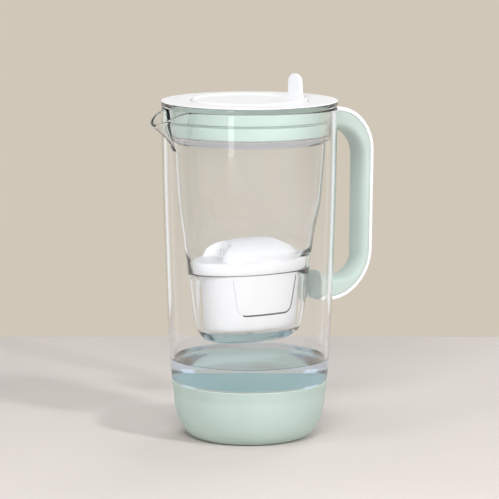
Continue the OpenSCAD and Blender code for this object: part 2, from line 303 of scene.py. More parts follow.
def metres(*values):
    return [v * mm for v in values]


# Materials

def linear(hexColour):
    channels = [int(hexColour[i:i + 2], 16) / 255 for i in (0, 2, 4)]
    return tuple(c / 12.92 if c < 0.04045 else ((c + 0.055) / 1.055)**2.4 for c in channels) + (1.0,)


def newMaterial(name, sockets):
    material = bpy.data.materials.new(name)
    material.use_nodes = True
    shader = material.node_tree.nodes["Principled BSDF"]
    for socket, value in sockets.items():
        shader.inputs[socket].default_value = value
    return material, material.node_tree, shader


def noise(tree, scale, detail=2.0, stretch=(1, 1, 1)):
    place = addNode(tree, "ShaderNodeTexCoord").outputs["Object"]
    mapped = addNode(tree, "ShaderNodeMapping", {"Vector": place, "Scale": stretch})
    made = addNode(tree, "ShaderNodeTexNoise",
                   {"Vector": mapped.outputs["Vector"], "Scale": scale, "Detail": detail})
    return made.outputs["Fac"]


def mixColours(tree, factor, first, second):
    firstSocket, secondSocket, resultSocket = 6, 7, 2
    made = addNode(tree, "ShaderNodeMix", {"Factor": factor, firstSocket: first, secondSocket: second},
                   data_type="RGBA")
    return made.outputs[resultSocket]


def colourBetween(tree, shader, factor, first, second):
    # noise stays near its middle, so the middle of the factor already covers the whole blend
    spread = addNode(tree, "ShaderNodeMapRange", {"Value": factor, "From Min": 0.35, "From Max": 0.65})
    blend = mixColours(tree, spread.outputs["Result"], linear(first), linear(second))
    tree.links.new(blend, shader.inputs["Base Color"])


def ranged(tree, factor, low, high):
    made = addNode(tree, "ShaderNodeMapRange",
                   {"Value": factor, "From Min": 0.3, "From Max": 0.7, "To Min": low, "To Max": high})
    return made.outputs["Result"]


def bumped(tree, shader, layers):
    # each layer is (height, depth in metres); the first one lies deepest
    normal = None
    for height, depth in layers:
        made = addNode(tree, "ShaderNodeBump", {"Height": height, "Distance": depth})
        if normal:
            tree.links.new(normal, made.inputs["Normal"])
        normal = made.outputs["Normal"]
    tree.links.new(normal, shader.inputs["Normal"])


def mouldedFinish(name, spec):
    # plastic or rubber with cloudy colour, uneven gloss, a slight waviness and a fine grain
    material, tree, shader = newMaterial(name, spec.get("sockets", {}))
    colourBetween(tree, shader, noise(tree, spec["cloud"], 3.0), spec["colour"], spec["shade"])
    wearScale = spec["cloud"] * 3.7   # finer, so that gloss and colour don't vary together
    wear = noise(tree, wearScale, 4.0)
    tree.links.new(ranged(tree, wear, *spec["roughness"]), shader.inputs["Roughness"])
    bumped(tree, shader, [(noise(tree, spec["wave"], 1.0), spec["waveDepth"]),
                          (noise(tree, spec["grain"], 2.0), spec["grainDepth"])])
    return material


def lightPasses(tree, shader, tint):
    # shadow rays and soft bounced light go straight through, so that what stands inside stays lit
    passing = addNode(tree, "ShaderNodeBsdfTransparent", {"Color": linear(tint)})
    light = addNode(tree, "ShaderNodeLightPath")
    soft = mathNode(tree, "MAXIMUM", light.outputs["Is Shadow Ray"], light.outputs["Is Diffuse Ray"])
    mixed = addNode(tree, "ShaderNodeMixShader",
                    {0: soft, 1: shader.outputs["BSDF"], 2: passing.outputs["BSDF"]})
    tree.links.new(mixed.outputs["Shader"], tree.nodes["Material Output"].inputs["Surface"])


def clearFinish(name, spec):
    # glass, clear plastic or water, faintly tinted and, where a wave is given, a little uneven
    material, tree, shader = newMaterial(name, {"Transmission Weight": 1.0, "Roughness": spec["haze"],
                                                "IOR": spec["ior"]})
    colourBetween(tree, shader, noise(tree, spec["cloud"], 1.0), spec["colour"], spec["shade"])
    if "wave" in spec:
        bumped(tree, shader, [(noise(tree, spec["wave"], 1.0, spec["stretch"]), spec["waveDepth"])])
    lightPasses(tree, shader, spec["shadow"])
    return material


finishes = dict(
    jugGlass=dict(colour="FFFFFF", shade="FDFEFE", shadow="FDFEFE", cloud=9, wave=14, waveDepth=0.00012,
                  stretch=(1, 1, 0.35), haze=0.0, ior=1.5),
    clearPlastic=dict(colour="FEFEFE", shade="FAFBFC", shadow="FBFBFC", cloud=12, wave=22, waveDepth=0.00006,
                      stretch=(1, 1, 0.5), haze=0.01, ior=1.52),
    mintSilicone=dict(colour="BBCDC6", shade="B6C8C1", cloud=18, wave=60, waveDepth=0.00004, grain=2600,
                      grainDepth=0.000012, roughness=(0.46, 0.56),
                      sockets={"Subsurface Weight": 0.12, "Subsurface Radius": (0.5, 0.8, 0.6),
                               "Subsurface Scale": 0.004, "Sheen Weight": 0.12, "Sheen Roughness": 0.4,
                               "Specular IOR Level": 0.4}),
    mintPlastic=dict(colour="BFCEC7", shade="BAC9C2", cloud=16, wave=45, waveDepth=0.00005, grain=1900,
                     grainDepth=0.00002, roughness=(0.38, 0.47), sockets={"Specular IOR Level": 0.45}),
    whitePlastic=dict(colour="F2F3F6", shade="EFF0F3", cloud=20, wave=38, waveDepth=0.00003, grain=1500,
                      grainDepth=0.000004, roughness=(0.34, 0.42),
                      sockets={"Specular IOR Level": 0.35, "Subsurface Weight": 0.1,
                               "Subsurface Radius": (1.0, 1.0, 1.0), "Subsurface Scale": 0.002}),
    mintLid=dict(colour="CADFD5", shade="C5DAD0", cloud=20, wave=40, waveDepth=0.00004, grain=1500,
                 grainDepth=0.000005, roughness=(0.2, 0.28)),
    bondRubber=dict(colour="B9C9C3", shade="B1C1BB", cloud=60, wave=120, waveDepth=0.00003, grain=2400,
                    grainDepth=0.00001, roughness=(0.5, 0.6)),
    sealRubber=dict(colour="B6CAC1", shade="AEC3BA", cloud=60, wave=160, waveDepth=0.00003, grain=2600,
                    grainDepth=0.000012, roughness=(0.45, 0.55)),
    # painted shade: a dark colour for the cut walls of the panel joint's wider run, standing in for the shade
    # in it
    paintedGrooveShade=dict(colour="3A4046", shade="32373D", cloud=60, wave=90, waveDepth=0.00003, grain=1700,
                    grainDepth=0.000012, roughness=(0.6, 0.7)),
    cartridgeWhite=dict(colour="F3F4F6", shade="EEEFF2", cloud=26, wave=50, waveDepth=0.00005, grain=1700,
                        grainDepth=0.000012, roughness=(0.33, 0.42),
                        sockets={"Subsurface Weight": 0.15, "Subsurface Radius": (1.0, 1.0, 1.0),
                                 "Subsurface Scale": 0.003}))

paint = {name: (clearFinish if "shadow" in spec else mouldedFinish)(name, spec)
         for name, spec in finishes.items()}


def fleeceFinish(name, spec):
    # fine crossed threads
    material, tree, shader = newMaterial(name, spec["sockets"])
    place = addNode(tree, "ShaderNodeTexCoord").outputs["Object"]
    threads = []
    for direction in ("X", "Y"):
        wave = addNode(tree, "ShaderNodeTexWave",
                       {"Vector": place, "Scale": spec["weave"], "Distortion": 1.4, "Detail": 2.0},
                       bands_direction=direction)
        threads.append(wave.outputs["Fac"])
    woven = mathNode(tree, "MAXIMUM", *threads)
    colourBetween(tree, shader, woven, spec["shade"], spec["colour"])
    bumped(tree, shader, [(woven, spec["depth"])])
    return material


def grainFinish(name, spec):
    # a packed bed of dark carbon grains with paler beads among them
    material, tree, shader = newMaterial(name, spec["sockets"])
    place = addNode(tree, "ShaderNodeTexCoord").outputs["Object"]
    cells = addNode(tree, "ShaderNodeTexVoronoi", {"Vector": place, "Scale": spec["grain"]})
    pale = addNode(tree, "ShaderNodeSeparateColor", {"Color": cells.outputs["Color"]})
    colourBetween(tree, shader, pale.outputs["Red"], spec["colour"], spec["shade"])
    domed = mathNode(tree, "SUBTRACT", 1.0, cells.outputs["Distance"])
    bumped(tree, shader, [(domed, spec["depth"])])
    return material


def brushedFinish(name, spec):
    # drawn steel wire, with its scratches along the pin
    material, tree, shader = newMaterial(name, spec["sockets"])
    scratches = noise(tree, spec["scratch"], 3.0, (1, 0.04, 1))
    colourBetween(tree, shader, scratches, spec["colour"], spec["shade"])
    tree.links.new(ranged(tree, scratches, *spec["roughness"]), shader.inputs["Roughness"])
    bumped(tree, shader, [(scratches, spec["depth"])])
    return material


paint["screenFleece"] = fleeceFinish("screenFleece", dict(
    colour="EDEDE8", shade="CFCFC8", weave=420, depth=0.0001, sockets={"Roughness": 0.9}))
paint["granules"] = grainFinish("granules", dict(
    colour="2E2B27", shade="B58A55", grain=1100, depth=0.0005, sockets={"Roughness": 0.75}))
paint["pinSteel"] = brushedFinish("pinSteel", dict(
    colour="D9DCDD", shade="B9BDBF", scratch=2400, depth=0.00001, roughness=(0.22, 0.36),
    sockets={"Metallic": 1.0}))
print("finishes:", len(paint))


def dress(piece, body, slot, *nodes):
    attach(piece, body)
    if nodes:
        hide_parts(*nodes)
    print("piece:", piece.name, len(piece.data.polygons), "faces")


# Glass jug

jug = dict(
    cornerCentre=(41.9, 36.2), cornerReach=17.3, cornerDrop=33.1,   # outside, under the base
    hollowCentre=(37.9, 38.2), hollowReach=18.3, hollowDrop=29.2,   # inside, over the floor
    outline=[(59.2, 36.2), (60.5, 42), (61.3, 45.2), (62.35, 47.0), (62.75, 49.5), (64.1, 70), (65.6, 94),
             (66.5, 112), (67.8, 151), (69, 191), (69.7, 231), (70, 265.9)],
    wall=3.0, wallFrom=52, plainAt=100, plainTo=231, rimZ=265.9, rimHalf=1.3, rimSteps=10,
    spoutZ=233, spoutReach=20.04, spoutDip=9.4, dipPower=1.8, spoutPower=1.55, bulgePower=1.05,
    rootAngle=4.0, mouthAngle=15.5, mouthPower=0.8, innerInset=2.3, insetPower=0.5,
    spoutColumns=48, wallColumns=176, spoutRows=30, underRings=(6, 24), floorRings=(20, 6))

outerWall = smoothThrough(jug["outline"], 8)


def jugRing(height, share, inner):
    # height is that of the plain wall, share runs from 0 at the spout's root to 1 at the rim
    half = jug["rootAngle"] + (jug["mouthAngle"] - jug["rootAngle"]) * share**jug["mouthPower"]
    half -= jug["innerInset"] * share**jug["insetPower"] if inner else 0
    radius = valueAt(outerWall, height) - (jug["wall"] if inner else 0)
    rise, fullRise = height - jug["spoutZ"], jug["rimZ"] - jug["rimHalf"] - jug["spoutZ"]
    ring = []
    spoutSpan, wallSpan = jug["spoutColumns"], jug["wallColumns"]
    for i in range(spoutSpan + wallSpan):
        u = 2 * i / spoutSpan - 1 if i < spoutSpan else 2.0
        angle = u * half if i < spoutSpan else half + (360 - 2 * half) * (i - spoutSpan) / wallSpan
        bulge = max(0.0, 1 - u * u)**jug["bulgePower"] if share > 0 else 0
        r = radius + jug["spoutReach"] * share**jug["spoutPower"] * bulge
        drop = jug["spoutDip"] * bulge**jug["dipPower"] * rise / fullRise if share > 0 else 0
        turn = math.radians(180 + angle)
        ring.append((r * math.cos(turn), r * math.sin(turn), height - drop))
    return ring


def jugShell():
    top = jug["rimZ"] - jug["rimHalf"]
    plainRing = jugRing(jug["plainAt"], 0, False)
    units = [(x / math.hypot(x, y), y / math.hypot(x, y)) for x, y, z in plainRing]

    def plain(r, z):
        return [(r * c, r * s, z) for c, s in units]

    under = bendPoints(jug["cornerCentre"], jug["cornerReach"], jug["cornerDrop"], 16)
    hollow = bendPoints(jug["hollowCentre"], jug["hollowReach"], jug["hollowDrop"], 16)
    rings = [plain(r, under[0][1]) for r in jug["underRings"]] + [plain(*p) for p in under[:-1]]
    rings += [plain(*p) for p in outerWall if p[1] < jug["plainTo"]]
    shares = [i / jug["spoutRows"] for i in range(jug["spoutRows"] + 1)]
    heights = [jug["spoutZ"] + (top - jug["spoutZ"]) * s for s in shares]
    rings += [jugRing(h, s, False) for h, s in zip(heights, shares)]
    outerRim, innerRim = rings[-1], jugRing(top, 1, True)
    for k in range(1, jug["rimSteps"]):
        turn = math.pi * k / jug["rimSteps"]
        lift = (0, 0, jug["rimHalf"] * math.sin(turn))
        rings.append([tuple((a + b) / 2 + (a - b) / 2 * math.cos(turn) + c for a, b, c in zip(p, q, lift))
                      for p, q in zip(outerRim, innerRim)])
    rings += [jugRing(h, s, True) for h, s in zip(reversed(heights), reversed(shares))]
    inside = [(r - jug["wall"], z) for r, z in outerWall if jug["wallFrom"] < z < jug["plainTo"]]
    rings += [plain(*p) for p in reversed(inside)]
    rings += [plain(*p) for p in reversed(hollow)] + [plain(r, hollow[0][1]) for r in jug["floorRings"]]
    return ringSkin(rings)


glassJug = makePiece("glassJug", [jugShell()], paint["jugGlass"], 60)
dress(glassJug, "jug", "jug_glass", "glass_jug")


# Silicone base

base = dict(
    foot=[(38.2, 0.7), (39.0, 0.7), (39.8, 0.0), (41.5, 0.0)], footSoft=0.3, innermost=5,
    cornerCentre=(41.9, 36.2), cornerReach=19.1, innerReach=17.4, innerDrop=33.2,
    side=[(61.0, 36.2), (61.8, 40.4), (62.5, 43.8)],
    lip=[(62.72, 44.6), (62.84, 45.05), (62.78, 45.45), (62.55, 45.7), (62.25, 45.79), (61.95, 45.72),
         (61.7, 45.5), (61.42, 45.1)],
    ribs=4, ribSpacing=8.4, ribInner=9.0, ribRadius=0.9)

baseOutside = bendPoints(base["cornerCentre"], base["cornerReach"], base["cornerCentre"][1], 26)
baseInside = bendPoints(base["cornerCentre"], base["innerReach"], base["innerDrop"], 20)
baseProfile = [(base["innermost"], base["foot"][0][1])] + softened(base["foot"], base["footSoft"])
baseProfile += baseOutside + smoothThrough(base["side"], 5)[1:] + base["lip"]
baseProfile += baseInside[::-1] + [(base["innermost"], baseInside[0][1])]
baseBoot = makePiece("baseBoot", [lathe(baseProfile)], paint["mintSilicone"], 50)
dress(baseBoot, "jug", "mint_silicone", "silicone_base")

baseRibs = grow(ringRibsTree(), "baseRibs", {
    "Count": base["ribs"], "Inner Radius": base["ribInner"] * mm, "Spacing": base["ribSpacing"] * mm,
    "Rib Radius": base["ribRadius"] * mm, "Material": paint["mintSilicone"]})
smoothShaded(baseRibs, 60)
dress(baseRibs, "jug", "mint_silicone")


# Handle

handle = dict(
    halfWidth=12.0, reach=113.3, topZ=262.4, lowZ=104.7, strip=3.2, seam=0.05, lean=1.3, depth=10.4,
    armHeight=19.0, topRadius=37.0, lowRadius=41.0, innerTop=25.5, innerLow=17.5,
    fillet=7.0, filletX=67.0, filletEnd=-144.5, lowEnd=66.5, topEnd=70.8,
    insideRound=(6.6, 11.6), outsideRound=(1.3, 1.3), stripInside=(0.35, 0.35), stripOutside=(1.3, 1.3),
    pad=1.2, padAir=0.06, padInset=1, padPower=3.4, padEnd=0.002, upperPad=(-18.5, -1), lowerPad=(1, 24))


def upTheHandle(start, low, top):
    # joins the lower arc to the upper one and runs on to the glass
    return (start[:-1] + low[:-1] + linePoints(low[-1], top[0], 18)[:-1] + top[:-1]
            + linePoints(top[-1], (handle["topEnd"], top[-1][1]), 8))


def outerEdge(inset):
    # side view of the handle, `inset` inside its outer face, from the lower arm round to the upper
    lowCentre = (handle["reach"] - handle["lean"] - handle["lowRadius"], handle["lowZ"] + handle["lowRadius"])
    topCentre = (handle["reach"] - handle["topRadius"], handle["topZ"] - handle["topRadius"])
    low = arcPoints(lowCentre, handle["lowRadius"] - inset, -90, 0, 26)
    top = arcPoints(topCentre, handle["topRadius"] - inset, 0, 90, 26)
    return upTheHandle(linePoints((handle["lowEnd"], low[0][1]), low[0], 12), low, top)


def innerEdge():
    # the same number of points round the inside of the grip
    face = handle["reach"] - handle["depth"]
    armTop, fillet = handle["lowZ"] + handle["armHeight"], handle["fillet"]
    topCentre = (face - handle["innerTop"], handle["topZ"] - handle["armHeight"] - handle["innerTop"])
    lowCentre = (face - handle["lean"] - handle["innerLow"], armTop + handle["innerLow"])
    foot = arcPoints((handle["filletX"] + fillet, armTop + fillet), fillet, handle["filletEnd"], -90, 8)
    low = arcPoints(lowCentre, handle["innerLow"], -90, 0, 26)
    top = arcPoints(topCentre, handle["innerTop"], 0, 90, 26)
    return upTheHandle(foot[:-1] + linePoints(foot[-1], low[0], 4), low, top)


def onGlass(y, z, gap):
    return math.sqrt((valueAt(outerWall, z) + gap)**2 - y * y)


def sectionAcross(depth, lowRound, highRound):
    # closed outline in (reach, width); each round is (along the reach, along the width)
    half, steps, across = handle["halfWidth"], 10, 6
    low, high = lowRound[0], depth - highRound[0]
    corners = [(high, half - highRound[1], highRound, 0), (low, half - lowRound[1], lowRound, 90),
               (low, lowRound[1] - half, lowRound, 180), (high, highRound[1] - half, highRound, 270)]
    outline = []
    for k, (w, v, (deep, wide), start) in enumerate(corners):
        angles = [math.radians(start + 90 * i / steps) for i in range(steps + 1)]
        outline += [(w + deep * math.cos(a), v + wide * math.sin(a)) for a in angles]
        if k in (1, 3):
            other = (0, lowRound[1] - half) if k == 1 else (depth, half - highRound[1])
            outline += linePoints(outline[-1], other, across)[1:-1]
    return outline


def armSkin(outside, inside, insideRound, outsideRound):
    # a band between two matched edges, with both ends shaped to the glass and the pads' thickness off it
    rings, gap = [], handle["pad"]
    for k, (o, i) in enumerate(zip(outside, inside)):
        length = math.dist(o, i)
        toward = ((o[0] - i[0]) / length, (o[1] - i[1]) / length)
        ring = []
        for w, v in sectionAcross(length, insideRound, outsideRound):
            x, z = i[0] + toward[0] * w, i[1] + toward[1] * w
            x = onGlass(v, z, gap) if k in (0, len(outside) - 1) else x
            ring.append((x, v, z))
        rings.append(ring)
    points, faces = ringSkin(rings)
    for pole in (-2, -1):
        x, y, z = points[pole]
        points[pole] = (onGlass(y, z, gap), y, z)
    return points, faces


grip = armSkin(outerEdge(handle["strip"] + handle["seam"]), innerEdge(),
               handle["insideRound"], handle["outsideRound"])
handleGrip = makePiece("handleGrip", [grip], paint["mintPlastic"], 50)
dress(handleGrip, "jug", "mint_plastic", "handle_grip")

strip = armSkin(outerEdge(0), outerEdge(handle["strip"]), handle["stripInside"], handle["stripOutside"])
handleStrip = makePiece("handleStrip", [strip], paint["whitePlastic"], 50)
dress(handleStrip, "jug", "white_plastic", "handle_strip")


def bondPad(name, node, lowZ, highZ):
    # a curved rubber pad with round corners between the glass and an arm
    half, air, power = handle["halfWidth"] - handle["padInset"], handle["padAir"], handle["padPower"]
    middle, tall, rows, columns = (lowZ + highZ) / 2, (highZ - lowZ) / 2, 8, 24
    rings = []
    for i in range(columns + 1):
        y = -half * math.cos(math.pi * i / columns)
        reach = tall * max(1 - abs(y / half)**power, handle["padEnd"])**(1 / power)
        heights = [z for _, z in linePoints((0, middle - reach), (0, middle + reach), rows)]
        rings.append([(onGlass(y, z, air), y, z) for z in heights]
                     + [(onGlass(y, z, handle["pad"] - air), y, z) for z in reversed(heights)])
    dress(makePiece(name, [ringSkin(rings)], paint["bondRubber"], 40), "jug", "bond_rubber", node)


bondPad("upperBond", "upper_bond_pad", *[handle["topZ"] + z for z in handle["upperPad"]])
bondPad("lowerBond", "lower_bond_pad", *[handle["lowZ"] + z for z in handle["lowerPad"]])
print("jug body done")


# Funnel with the cartridge's pocket

funnel = dict(
    outside=[(78.6, 30, 14, 2.2), (79.8, 36, 20, 2.2), (82.4, 41, 24.8, 2.2), (88, 44.6, 28, 2.2),
             (96, 47.2, 30, 2.2), (110, 50, 31.6, 2.2), (131, 52.4, 33.2, 2.2), (145, 53.7, 34.4, 2.2),
             (151, 55, 36.6, 2.1), (167, 56.8, 43, 2.0), (180, 57.4, 50.5, 2.0), (191, 57.8, 55.6, 2.0),
             (207, 58.6, 58.2, 2.0), (238.4, 60.7, 60.7, 2.0)],
    wall=1.6, evenFrom=151,
    ledge=[(147, 52.4, 31.8, 2.1), (145.6, 52.0, 31.3, 2.1), (135.4, 51.2, 30.6, 2.1),
           (134.9, 50.8, 30.3, 2.1), (134.9, 47.0, 29.1, 2.2), (134.4, 46.6, 28.9, 2.2)],
    pocket=[(110, 45.2, 27.6, 2.2), (95, 43.4, 26.4, 2.2), (89, 42, 25.4, 2.2), (86.2, 40, 23.6, 2.2),
            (82.8, 36.5, 20.2, 2.2), (81.6, 32, 16.4, 2.2)],
    collar=[(61.6, 238.8), (63.6, 240.4), (65.3, 244.2), (65.3, 266.0), (68.7, 266.0), (69.8, 266.5),
            (70.3, 267.6), (70.3, 269.7), (69.7, 270.3), (63.75, 270.3), (63.75, 244.4), (59.6, 244.2)],
    underside=[(78.6, 12, 5.6, 2.2), (78.6, 24, 11.2, 2.2)],
    floor=[(81.6, 22, 11.2, 2.2), (81.6, 11, 5.6, 2.2)],
    collarSoft=0.45, ledgeSoft=0.4, columns=160, outletRadius=3.0, drillZ=(75, 87))


def funnelShell():
    # up the outside, over the flange, and down the inside to the pocket's floor
    wall = funnel["wall"]
    inside = [(z, a - wall, b - wall, p) for z, a, b, p in funnel["outside"] if z >= funnel["evenFrom"]]
    sections = funnel["underside"] + smoothThrough(funnel["outside"], 6)
    sections += [(z, r, r, 2.0) for r, z in softened(funnel["collar"], funnel["collarSoft"], 3)]
    sections += smoothThrough(inside, 6)[::-1] + softened(funnel["ledge"], funnel["ledgeSoft"], 3)
    sections += smoothThrough([funnel["ledge"][-1]] + funnel["pocket"], 5)[1:] + funnel["floor"]
    return ringSkin([ovalRing(*section, funnel["columns"]) for section in sections])


funnelClear = makePiece("funnelClear", [funnelShell()], paint["clearPlastic"], 40)
outletShell = lathe([(funnel["outletRadius"], z) for z in funnel["drillZ"]], steps=48)
drill = makePiece("outletDrill", [outletShell], paint["clearPlastic"])
carve(funnelClear, "DIFFERENCE", drill, sharpAngle=40)
dress(funnelClear, "funnel", "clear_plastic", "funnel")


# Filter cartridge

cartridge = dict(
    cup=[(89, 32, 16.6, 2.3), (89, 35, 19, 2.3), (89.6, 37.2, 21, 2.3), (91.5, 38.4, 22.1, 2.3),
         (96, 39.5, 23.2, 2.3), (135, 43.2, 26.4, 2.3)],
    wall=1.6, footTo=100, columns=192, capColumns=320,
    flange=[(135, 49.0, 28.2), (135.15, 49.5, 28.7), (135.6, 49.8, 29.0), (144.4, 49.8, 29.0),
            (144.85, 49.5, 28.7), (145, 49.0, 28.2)], flangeTop=(0.3, 0.6, 0.8, 0.92),
    crown=[(145.0, 36.8, 28.15, 3.1), (145.4, 36.3, 28.1, 3.2), (147, 36.1, 28.05, 3.2),
           (148.4, 36.0, 28.0, 3.1), (151.8, 34.8, 26.2, 2.9), (154.7, 32.2, 22.8, 2.7),
           (157.5, 28.2, 17.6, 2.5), (159.3, 23.4, 11.6, 2.3), (160.3, 16, 6.5, 2.1), (160.4, 8, 3.2, 2.0)],
    scoopX=37.4, scoop=[(145, -1.5), (145.15, -0.7), (145.5, -0.2), (146.2, 0.0), (164, 3.9)],
    scoopRadius=13.8, scoopBlend=2.2, scoopFlare=5, underCrown=147, smallest=(1.5, 0.8),
    ceiling=(143, 34.5, 26.2, 3.2), ceilingScoop=146.2,
    mouth=[(143, 41.2, 24.6, 2.3), (142.6, 41.6, 24.8, 2.3), (135, 41.6, 24.8, 2.3)],
    floorSlots=dict(count=5, pitch=(6.0, 0, 0), size=(2, 14, 6), z=91),
    capSlots=dict(count=5, pitch=(0, 3.0, 0), size=(10, 1, 6), z=150), capSlotX=22.7)

# the joint's later run is cut wider and painted dark, as painted shade
panel = dict(topHalf=29.0, lowHalf=24.0, topZ=130.5, lowZ=102.0, corner=7.0, shutRadius=0.6, shadeRadius=0.72,
             sink=0.25, shadeFrom=0.3, step=1.5)


def cupShell():
    wall = cartridge["wall"]
    outside = [cartridge["cup"][0]] + smoothThrough(cartridge["cup"][1:-1], 4)
    outside += linePoints(outside[-1], cartridge["cup"][-1], 6)[1:]
    inside = [(z + (wall if z < cartridge["footTo"] else 0), a - wall, b - wall, p) for z, a, b, p in outside]
    return ringSkin([ovalRing(*section, cartridge["columns"]) for section in outside + inside[::-1]])


def cupFace(x, z):
    # half width of the cup's outer face at a given length and height
    low, high = cartridge["cup"][-2:]
    share = (z - low[0]) / (high[0] - low[0])
    a, b = (low[k] + (high[k] - low[k]) * share for k in (1, 2))
    power = low[3]
    return b * (1 - (abs(x) / a)**power)**(1 / power)


def panelGroove(side, inShade):
    # the U-shaped joint of the clip panel, laid on the cup's face: a plain groove on one side, and along the
    # rest a wider groove whose cut walls take a painted dark shade, standing in for the shade that falls into
    # the joint
    left = [(-panel["topHalf"], panel["topZ"]), (-panel["lowHalf"], panel["lowZ"])]
    soft = softened(left + [(-x, z) for x, z in reversed(left)], panel["corner"], 8)
    route = []
    for a, b in zip(soft, soft[1:]):
        route += linePoints(a, b, max(1, int(math.dist(a, b) / panel["step"])))[:-1]
    route.append(soft[-1])
    start = int(len(route) * panel["shadeFrom"])
    route = route[start:] if inShade else route[:start + 1]
    radius = panel["shadeRadius" if inShade else "shutRadius"]
    # the wider run's cut walls take the painted shade
    finish = "paintedGrooveShade" if inShade else "cartridgeWhite"
    points = [(side * x * mm, side * (-cupFace(x, z) + panel["sink"]) * mm, z * mm) for x, z in route]
    mesh = bpy.data.meshes.new("groovePath")
    mesh.from_pydata(points, [(i, i + 1) for i in range(len(route) - 1)], [])
    return grow(followPath, "panelGroove", {"Radius": radius * mm, "Material": paint[finish]}, mesh)


def capRing(z, a, b, power, scoop=None):
    # an oval seen from its centre; the finger hollows bite softly into its ends
    ring, columns, scoopX, blend = [], cartridge["capColumns"], cartridge["scoopX"], cartridge["scoopBlend"]
    for i in range(columns):
        angle = 2 * math.pi * i / columns
        c, s = abs(math.cos(angle)), abs(math.sin(angle))
        reach = ((c / a)**power + (s / b)**power)**(-1 / power)
        if scoop:
            aside, bite = scoopX * s - scoop, scoopX * c
            bite += cartridge["scoopFlare"] * aside if aside > 0 else -math.sqrt(scoop**2 - (scoopX * s)**2)
            gap = max(blend - abs(reach - bite), 0) / blend
            reach = min(reach, bite) - gap * gap * blend / 4
        ring.append((reach * math.cos(angle), reach * math.sin(angle), z))
    return ring


def scoopAt(z, inset=0.0):
    grown = valueAt([(radius, height) for height, radius in cartridge["scoop"]], z)
    return cartridge["scoopRadius"] + grown + inset


def capShell():
    # down the dome's inside and its mouth, up round the flange, then up the dome's outside
    wall, (leastA, leastB) = cartridge["wall"], cartridge["smallest"]
    crown = smoothThrough(cartridge["crown"], 7)
    rings = [capRing(z - wall, max(a - wall, leastA), max(b - wall, leastB), p, scoopAt(z, wall))
             for z, a, b, p in reversed(crown) if z > cartridge["underCrown"]]
    rings.append(capRing(*cartridge["ceiling"], scoopAt(cartridge["ceilingScoop"], wall)))
    rings += [capRing(*section) for section in cartridge["mouth"]]
    rings += [capRing(z, a, b, 2.0) for z, a, b in cartridge["flange"]]
    edge, foot = rings[-1], capRing(*crown[0], scoopAt(crown[0][0]))
    for t in cartridge["flangeTop"]:
        rings.append([tuple(u + (v - u) * t for u, v in zip(p0, p1)) for p0, p1 in zip(edge, foot)])
    rings += [capRing(*section, scoopAt(section[0])) for section in crown]
    return ringSkin(rings)


def slotCutter(name, spec, x=0.0):
    # a row of blocks about the middle plane that cuts slots
    first = [-pitch * (spec["count"] - 1) / 2 for pitch in spec["pitch"]]
    return grow(slotRow, name, {
        "Count": spec["count"], "Pitch": metres(*spec["pitch"]), "Size": metres(*spec["size"]),
        "Start": metres(x + first[0], first[1], spec["z"]), "Material": paint["cartridgeWhite"]})


followPath, slotRow = followPathTree(), slotRowTree()
cartridgeCup = makePiece("cartridgeCup", [cupShell()], paint["cartridgeWhite"], 40)
floorSlots = slotCutter("floorSlots", cartridge["floorSlots"])
# each face of the cup gets a plain run and a run in painted shade
grooves = [panelGroove(side, inShade) for side in (1, -1) for inShade in (False, True)]
carve(cartridgeCup, "DIFFERENCE", floorSlots, *grooves)
dress(cartridgeCup, "cartridge", "cartridge_white", "cartridge_cup")

cartridgeCap = makePiece("cartridgeCap", [capShell()], paint["cartridgeWhite"], 40)
capSlots = [slotCutter("capSlots", cartridge["capSlots"], side * cartridge["capSlotX"]) for side in (-1, 1)]
carve(cartridgeCap, "DIFFERENCE", *capSlots, sharpAngle=40)
dress(cartridgeCap, "cartridge", "cartridge_white", "cartridge_cap")

for node, finish in (("inlet_screen", "screenFleece"), ("outlet_screen", "screenFleece"),
                     ("filter_granules", "granules"), ("hinge_pin", "pinSteel"), ("lid_seal", "sealRubber")):
    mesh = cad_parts[node].data
    mesh.materials.clear()
    mesh.materials.append(paint[finish])
print("funnel and cartridge done")


# Lid

lid = dict(
    plate=[(38.0, 268.0), (61.2, 268.0), (61.2, 270.4), (70.3, 270.4), (70.48, 270.6), (70.4, 270.95),
           (69.8, 271.2), (47.4, 271.2), (47.0, 270.8), (47.0, 269.8), (38.4, 269.8), (38.0, 269.4)],
    plug=[(61.2, 245.2), (61.8, 244.6), (62.5, 244.6), (63.2, 245.6), (63.4, 250), (63.4, 254.6), (62.2, 255),
          (62.2, 256.2), (63.4, 256.6), (63.4, 270.4), (61.2, 270.4)],
    plateSoft=0.25, plugSoft=0.3, whiteInside=61.35,
    pocketLow=(44.2, -12.4, 266.1), pocketHigh=(53.4, 12.4, 280.0),
    bossLow=(42.5, -15.0, 264.6), bossHigh=(54.9, 15.0, 269.6))

plateShell = lathe(softened(lid["plate"], lid["plateSoft"], 3, closed=True), closed=True)
lidPlate = makePiece("lidPlate", [plateShell], paint["whitePlastic"], 40)
boss = makePiece("hingeBoss", [boxShell(lid["bossLow"], lid["bossHigh"])], paint["whitePlastic"])
pocket = makePiece("hingePocket", [boxShell(lid["pocketLow"], lid["pocketHigh"])], paint["whitePlastic"])
carve(lidPlate, "UNION", boss)
carve(lidPlate, "DIFFERENCE", pocket)
dress(lidPlate, "lid", "white_plastic", "lid_plate")

plugShell = lathe(softened(lid["plug"], lid["plugSoft"], 3, closed=True), closed=True)
plugRing = makePiece("plugRing", [plugShell], paint["mintLid"], 40)
plugRing.data.materials.append(paint["whitePlastic"])
for face in plugRing.data.polygons:
    face.material_index = int(math.hypot(*face.center[:2]) < lid["whiteInside"] * mm)
dress(plugRing, "lid", "mint_lid", "lid_plug_ring")


# Flip cover

